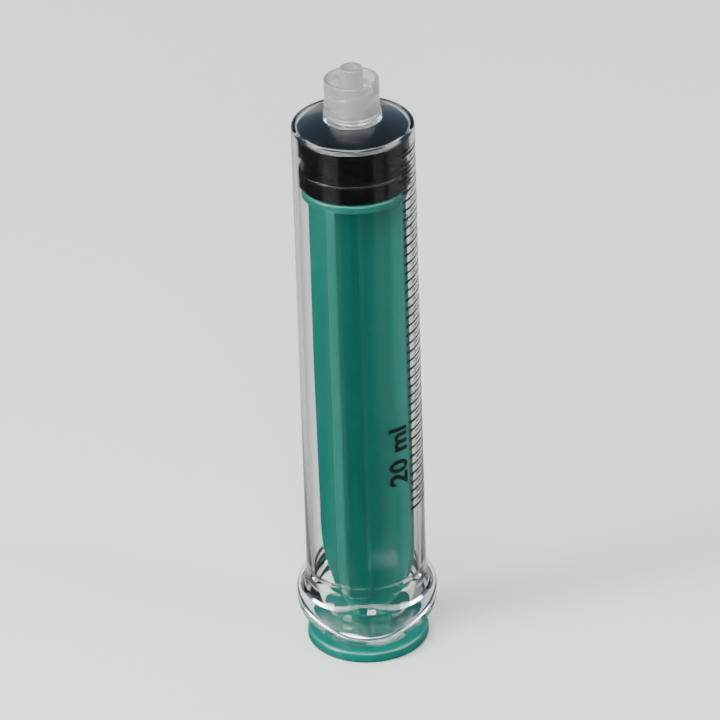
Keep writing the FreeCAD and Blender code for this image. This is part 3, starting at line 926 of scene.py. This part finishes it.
@dataclass
class PlungerRod:
    """The green moulding: thumb rest, cross of fins, backing disc, neck and snap button."""

    material: Material
    thumb_thickness: float = 2.3
    thumb_rounding: float = 0.75
    groove_depth: float = 0.4
    groove_width: float = 1.0
    groove_pitch: float = 2.6
    grooves: int = 3
    land_radius: float = 2.2
    fin_reach: float = 9.1
    fin_half_thickness: float = 0.85
    fin_tip_rounding: float = 0.3
    fin_root_fillet: float = 1.0
    least_fillet: float = 0.1
    fins: int = 4
    turn_degrees: float = -27.5
    waist_height: float = 18.2
    waist_bend: float = 25.0
    waist_reach: float = 3.9
    foot_blend: float = 0.8
    straight_end: float = 0.2
    sunk: float = 0.5
    backing_radius: float = 9.1
    backing: Pair = (88.9, 90.5)
    neck_radius: float = 3.2
    neck_top: float = 92.9
    button_radius: float = 5.0
    button_edge_top: float = 94.3
    button_top_radius: float = 2.2

    def section(self, height: float, swell: float) -> list[Vector]:
        """Loop round the cross of fins.

        Args:
            height: where the loop lies.
            swell: how much every face stands out past its usual place.

        Returns:
            The loop's points in millimetres.
        """
        half = self.fin_half_thickness + swell
        end = self.reach_at(height) + swell
        tip = min(self.fin_tip_rounding + swell, half)
        root = max(self.fin_root_fillet - swell, self.least_fillet)
        middle = half + root
        steps = 4
        one_fin = [Vector((middle, -half, height))]
        for centre, first in ((tip - half, -90.0), (half - tip, 0.0)):
            for step in range(steps + 1):
                angle = math.radians(first + 90.0 * step / steps)
                across = end - tip + tip * math.cos(angle)
                one_fin.append(Vector((across, centre + tip * math.sin(angle), height)))
        one_fin.append(Vector((middle, half, height)))
        for step in range(1, steps):
            angle = math.radians(270.0 - 90.0 * step / steps)
            across = middle + root * math.cos(angle)
            one_fin.append(Vector((across, middle + root * math.sin(angle), height)))
        loop = []
        for number in range(self.fins):
            spin = math.radians(self.turn_degrees) + 2 * math.pi * number / self.fins
            loop.extend(Matrix.Rotation(spin, 3, "Z") @ point for point in one_fin)
        return loop

    def reach_at(self, height: float) -> float:
        """How far a fin stands from the axis at a height: straight, then an arc, then its tangent."""
        waist_top = self.thumb_thickness + self.waist_height
        if height >= waist_top:
            return self.fin_reach
        centre = Vector((self.fin_reach - self.waist_bend, waist_top))
        foot = Vector((self.waist_reach, self.thumb_thickness))
        span = foot - centre
        touch_angle = math.atan2(span.y, span.x) + math.acos(self.waist_bend / span.length)
        touch = centre + Vector((math.cos(touch_angle), math.sin(touch_angle))) * self.waist_bend
        if height >= touch.y:
            return centre.x + math.sqrt(self.waist_bend ** 2 - (waist_top - height) ** 2)
        share = (height - foot.y) / (touch.y - foot.y)
        return foot.x + (touch.x - foot.x) * share

    def stations(self) -> list[Pair]:
        """Heights at which the fins' loop is drawn, each with its swell next to the thumb rest."""
        blend = self.foot_blend
        low = self.thumb_thickness
        waist = low + self.waist_height
        top = self.backing[0] - self.straight_end
        blend_steps, waist_steps, body_steps = 6, 26, 8
        heights = [(low - self.sunk, blend)]
        for step in range(blend_steps + 1):
            angle = math.pi / 2 * step / blend_steps
            heights.append((low + blend * (1 - math.cos(angle)), blend * (1 - math.sin(angle))))
        for first, last, steps in ((low + blend, waist, waist_steps), (waist, top, body_steps)):
            heights += [(first + (last - first) * step / steps, 0.0) for step in range(1, steps + 1)]
        heights.append((self.backing[0] + self.sunk, 0.0))
        return heights

    def make_fins(self) -> Piece:
        """Extrude the cross of fins from station to station."""
        stations = self.stations()
        loop = self.section(*stations[0])
        deselect_all()
        bpy.ops.mesh.primitive_circle_add(vertices=len(loop), radius=self.fin_reach * MM, fill_type="NGON")
        piece = bpy.context.object
        piece.name = "rod_fins"
        for vertex, point in zip(piece.data.vertices, loop):
            vertex.co = point * MM
        bpy.ops.object.mode_set(mode="EDIT")
        bpy.ops.mesh.select_all(action="SELECT")
        order = list(range(len(loop)))
        for station in stations[1:]:
            bpy.ops.mesh.extrude_region_move(TRANSFORM_OT_translate={"value": (0, 0, 0)})
            mesh = bmesh.from_edit_mesh(piece.data)
            mesh.verts.ensure_lookup_table()
            below = {place_key(mesh.verts[index].co): number for number, index in enumerate(order)}
            raised = [vert for vert in mesh.verts if vert.select]
            raised.sort(key=lambda vert: below[place_key(vert.co)])
            for vert, point in zip(raised, self.section(*station)):
                vert.co = point * MM
            order = [vert.index for vert in raised]
            bmesh.update_edit_mesh(piece.data)
        face_outwards()
        return piece

    def thumb_outline(self) -> list[Corner]:
        """The thumb rest, with concentric grip grooves underneath."""
        radius = node_box("plunger_rod")[1].x
        corners = [Corner(0.0, 0.0)]
        for number in range(self.grooves):
            start = self.land_radius + number * self.groove_pitch
            corners += [
                Corner(start, 0.0, 0.12),
                Corner(start, self.groove_depth, 0.15),
                Corner(start + self.groove_width, self.groove_depth, 0.15),
                Corner(start + self.groove_width, 0.0, 0.12),
            ]
        corners += [
            Corner(radius, 0.0, self.thumb_rounding),
            Corner(radius, self.thumb_thickness, self.thumb_rounding),
            Corner(0.0, self.thumb_thickness),
        ]
        return corners

    def head_outline(self) -> list[Corner]:
        """Backing disc, neck and snap button."""
        button_top = node_box("plunger_rod")[1].z
        low, high = self.backing
        return [
            Corner(0.0, low),
            Corner(self.backing_radius, low, 0.3),
            Corner(self.backing_radius, high, 0.5),
            Corner(self.neck_radius, high, 0.2),
            Corner(self.neck_radius, self.neck_top, 0.1),
            Corner(self.button_radius, self.neck_top, 0.2),
            Corner(self.button_radius, self.button_edge_top, 0.4),
            Corner(self.button_top_radius, button_top, 0.6),
            Corner(0.0, button_top),
        ]

    def build(self) -> Piece:
        """Fuse fins, thumb rest and head into one skin and dress it.

        Returns:
            The finished piece.
        """
        piece = self.make_fins()
        fuse(piece, turn("rod_thumb_rest", self.thumb_outline(), steps=160))
        fuse(piece, turn("rod_head", self.head_outline(), steps=128))
        rename(piece, "rod_moulding")
        shade(piece)
        dress(piece, self.material)
        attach(piece, Body.PLUNGER.value)
        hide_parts("plunger_rod")
        return piece


@dataclass
class PrintedScale:
    """Ink on the barrel: half, one and five millilitre lines, their numbers and the nominal volume.

    Angles are degrees about Z from the camera's side, -Y, towards +X.
    """

    material: Material
    surface_radius: float = 10.6
    ink_thickness: float = 0.02
    lift: float = 0.012
    zero_below_shoulder: float = 3.6
    shoulder: float = 101.8
    division: float = 1.727
    divisions: int = 40
    left_edge: float = 50.0
    numeral_edge: float = 105.0
    numeral_height: float = 3.3
    volume_place: Pair = (37.0, 35.0)
    volume_height: float = 5.2
    boldness: float = 0.028
    strip_width: float = 0.45

    def arc(self, degrees: float) -> float:
        """Length along the barrel's surface that an angle spans."""
        return math.radians(degrees) * self.surface_radius

    def height_of(self, number: int) -> float:
        """Height of a division."""
        return self.shoulder - self.zero_below_shoulder - number * self.division

    def tick_kind(self, number: int) -> Tick:
        """Which line stands at a division."""
        if number % 10 == 0:
            return Tick.FIVE
        return Tick.ONE if number % 2 == 0 else Tick.HALF

    def line(self, number: int) -> Piece:
        """One line of the scale, flat, with arc length as X and height as Y."""
        end, width = self.tick_kind(number).value
        left = self.arc(self.left_edge)
        right = self.arc(end)
        deselect_all()
        bpy.ops.mesh.primitive_grid_add(x_subdivisions=14, y_subdivisions=1, size=1.0)
        piece = bpy.context.object
        piece.data.transform(Matrix.Diagonal(((right - left) * MM, width * MM, 1.0, 1.0)))
        middle = Vector(((left + right) / 2, self.height_of(number), 0.0))
        piece.data.transform(Matrix.Translation(middle * MM))
        return piece

    def lettering(self, words: str, size: float, left: float, base: float,
                  upright: bool) -> Piece:
        """Plain lettering, flat, cut into strips narrow enough to bend round the barrel.

        Args:
            words: what it says.
            size: height of the lettering in millimetres.
            left: arc length of its left edge.
            base: height of its middle.
            upright: False turns it to read along the barrel, up towards the tip.

        Returns:
            The flat lettering.
        """
        deselect_all()
        bpy.ops.object.text_add(location=(0, 0, 0))
        piece = bpy.context.object
        piece.data.body = words
        piece.data.size = size * MM
        piece.data.align_y = "CENTER"
        piece.data.offset = self.boldness * size * MM
        piece.data.resolution_u = 4
        bpy.ops.object.convert(target="MESH")
        piece = bpy.context.object
        if not upright:
            piece.data.transform(Matrix.Rotation(math.pi / 2, 4, "Z"))
        piece.data.transform(Matrix.Translation(Vector((left, base, 0.0)) * MM))
        lowest = min(vertex.co.x for vertex in piece.data.vertices)
        highest = max(vertex.co.x for vertex in piece.data.vertices)
        strip = self.strip_width * MM
        bpy.ops.object.mode_set(mode="EDIT")
        cuts = int((highest - lowest) / strip)
        for number in range(1, cuts + 1):
            bpy.ops.mesh.select_all(action="SELECT")
            bpy.ops.mesh.bisect(plane_co=(lowest + number * strip, 0, 0), plane_no=(1, 0, 0))
        bpy.ops.mesh.select_all(action="SELECT")
        bpy.ops.mesh.remove_doubles(threshold=1e-7)
        bpy.ops.object.mode_set(mode="OBJECT")
        return piece

    def wrap(self, piece: Piece) -> None:
        """Lay flat ink on the barrel and give it its thickness, outwards."""
        radius = (self.surface_radius + self.lift) * MM
        for vertex in piece.data.vertices:
            angle = vertex.co.x / (self.surface_radius * MM)
            vertex.co = Vector((math.sin(angle) * radius, -math.cos(angle) * radius, vertex.co.y))
        apply_modifier(piece, "SOLIDIFY", thickness=self.ink_thickness * MM, offset=1.0)

    def finish(self, piece: Piece, name: str) -> Piece:
        """Name, wrap, dress and mount one piece of print."""
        rename(piece, name)
        self.wrap(piece)
        shade(piece)
        dress(piece, self.material)
        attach(piece, Body.BARREL.value)
        return piece

    def build(self) -> list[Piece]:
        """Print the lines, the numbers and the nominal volume.

        Returns:
            The three pieces of print.
        """
        lines = join([self.line(number) for number in range(self.divisions + 1)])
        size, edge = self.numeral_height, self.arc(self.numeral_edge)
        numerals = join([self.lettering(str(number // 2), size, edge, self.height_of(number), True)
                         for number in range(10, self.divisions + 1, 10)])
        volume = self.lettering("20 ml", self.volume_height, self.arc(self.volume_place[0]),
                                self.volume_place[1], False)
        return [
            self.finish(lines, "scale_lines"),
            self.finish(numerals, "scale_numbers"),
            self.finish(volume, "nominal_volume"),
        ]


# Studio


@dataclass(frozen=True)
class Lamp:
    """One soft box: where it hangs, in metres, the width and height of its face, its power and its light."""

    name: str
    place: tuple[float, float, float]
    size: Pair
    watts: float
    colour: tuple[float, float, float] = (1.0, 1.0, 1.0)
    mirrored: bool = True

    def hang(self, target: Vector) -> None:
        """Hang it out of the camera's sight, facing the target."""
        data = bpy.data.lights.new(self.name, "AREA")
        data.shape = "RECTANGLE"
        data.size, data.size_y = self.size
        data.energy = self.watts
        data.color = self.colour
        lamp = bpy.data.objects.new(self.name, data)
        lamp.location = self.place
        lamp.visible_camera = False
        lamp.visible_glossy = self.mirrored
        lamp.visible_transmission = self.mirrored
        lamp.rotation_euler = (target - lamp.location).to_track_quat("-Z", "Y").to_euler()
        bpy.context.scene.collection.objects.link(lamp)


@dataclass
class Studio:
    """Plain pale floor, soft lamps and the camera at the photograph's viewing angle.

    The ring of soft boxes lies between two heights and ends behind the part. Heights and sides are parts of a
    direction of length 1, and bearings are radians from the camera's side. Each pair is where a change starts
    and ends.
    """

    floor_size: float = 12.0
    camera_distance: float = 0.9783
    camera_height: float = 0.5962
    aim_height: float = 0.0555
    lens: float = 321.0
    lean_degrees: float = -1.8
    soft_boxes: Colour = (13.0, 13.0, 13.0, 1.0)
    ring_foot: Pair = (0.5, 0.58)
    ring_top: Pair = (0.74, 0.86)
    ring_end: Pair = (2.0, 2.3)
    low_top: Pair = (0.12, 0.28)
    low_side: Pair = (-0.1, 0.05)
    low_right_share: float = 0.3
    seen_air: Colour = (0.5, 0.52, 0.55, 1.0)
    mirrored_air: Colour = (0.14, 0.21, 0.3, 1.0)
    low_air: Colour = (0.55, 0.56, 0.58, 1.0)
    lamps: tuple[Lamp, ...] = (
        Lamp("front_left", (-0.42, -0.5, 0.8), (0.8, 0.45), 12.0),
        Lamp("front_right", (0.08, -0.78, 0.42), (0.2, 0.2), 5.0),
        Lamp("key", (-0.85, -0.35, 0.42), (0.3, 0.5), 13.0, (1.0, 0.985, 0.96)),
        Lamp("fill", (0.85, -0.4, 0.4), (0.25, 0.4), 4.0, (0.95, 0.98, 1.0)),
        Lamp("rim", (0.35, 0.85, 0.35), (0.2, 0.4), 2.5, mirrored=False),
    )

    def floor(self) -> None:
        """Lay the floor."""
        deselect_all()
        bpy.ops.mesh.primitive_grid_add(x_subdivisions=8, y_subdivisions=8, size=self.floor_size)
        floor = bpy.context.object
        floor.name = "studio_floor"
        dress(floor, StudioFloor().build())

    def world(self) -> None:
        """Fill the room with even pale light; glossy pieces mirror a ring of soft boxes in dim blue air."""
        world = bpy.data.worlds.new("studio_air")
        bpy.context.scene.world = world
        world.use_nodes = True
        nodes = Nodes(world.node_tree)
        path = nodes.add("ShaderNodeLightPath")
        mirrored = nodes.maths("GREATER_THAN", path.outputs["Glossy Depth"], 0.5)
        towards = nodes.add("ShaderNodeTexCoord").outputs["Generated"]
        side, depth, height = nodes.add("ShaderNodeSeparateXYZ", inputs={0: towards}).outputs
        bearing = nodes.maths("ARCTAN2", nodes.maths("ABSOLUTE", side), nodes.times(depth, -1.0))
        risen = nodes.times(nodes.ramp(height, *self.ring_foot),
                            nodes.ramp(height, *self.ring_top, 1.0, 0.0))
        ring = nodes.times(risen, nodes.ramp(bearing, *self.ring_end, 1.0, 0.0))
        boxes = nodes.mix(ring, self.mirrored_air, self.soft_boxes)
        low = nodes.times(nodes.ramp(height, *self.low_top, 1.0, 0.0),
                          nodes.ramp(side, *self.low_side, 1.0, self.low_right_share))
        shone = nodes.mix(low, boxes, self.low_air)
        colour = nodes.mix(mirrored, self.seen_air, shone)
        air = nodes.add("ShaderNodeBackground", inputs={"Color": colour, "Strength": 1.0})
        nodes.surface(air, "ShaderNodeOutputWorld")

    def camera(self) -> None:
        """Set the camera where the photograph was taken from, and let it lean as that one did."""
        place = Vector((0.0, -self.camera_distance, self.camera_height))
        aim = Vector((0.0, 0.0, self.aim_height))
        data = bpy.data.cameras.new("photo_camera")
        data.lens = self.lens
        data.sensor_width = 36.0
        data.clip_start = 0.01
        camera = bpy.data.objects.new("photo_camera", data)
        facing = (aim - place).to_track_quat("-Z", "Y").to_matrix().to_4x4()
        lean = Matrix.Rotation(math.radians(self.lean_degrees), 4, "Z")
        camera.matrix_world = Matrix.Translation(place) @ facing @ lean
        bpy.context.scene.collection.objects.link(camera)
        bpy.context.scene.camera = camera

    def build(self) -> None:
        """Set the whole studio up, with lamps above the camera, at the left and right and behind."""
        self.camera()
        self.world()
        for lamp in self.lamps:
            lamp.hang(Vector((0.0, 0.0, self.aim_height)))
        self.floor()


def report(pieces: Iterable[Piece]) -> None:
    """Log each finished piece with its size."""
    for piece in pieces:
        LOG.info("%s: %d triangles, %d vertices", piece.name, triangles(piece), len(piece.data.vertices))


def main() -> None:
    """Build the studio, then each piece in order."""
    Studio().build()
    effects = Effects()
    clear = ClearPlastic("clear_polypropylene", 0.02)
    milky = ClearPlastic("milky_polypropylene", 0.2, tint=(0.5, 0.5, 0.495, 1.0), transmission=0.8)
    report([Barrel(clear.build(effects), milky.build(effects)).build()])
    report([Stopper(BlackRubber().build(effects)).build()])
    report([PlungerRod(GreenPlastic().build(effects)).build()])
    report(PrintedScale(ScaleInk().build(effects)).build())
    deselect_all()


if __name__ == "__main__":
    main()
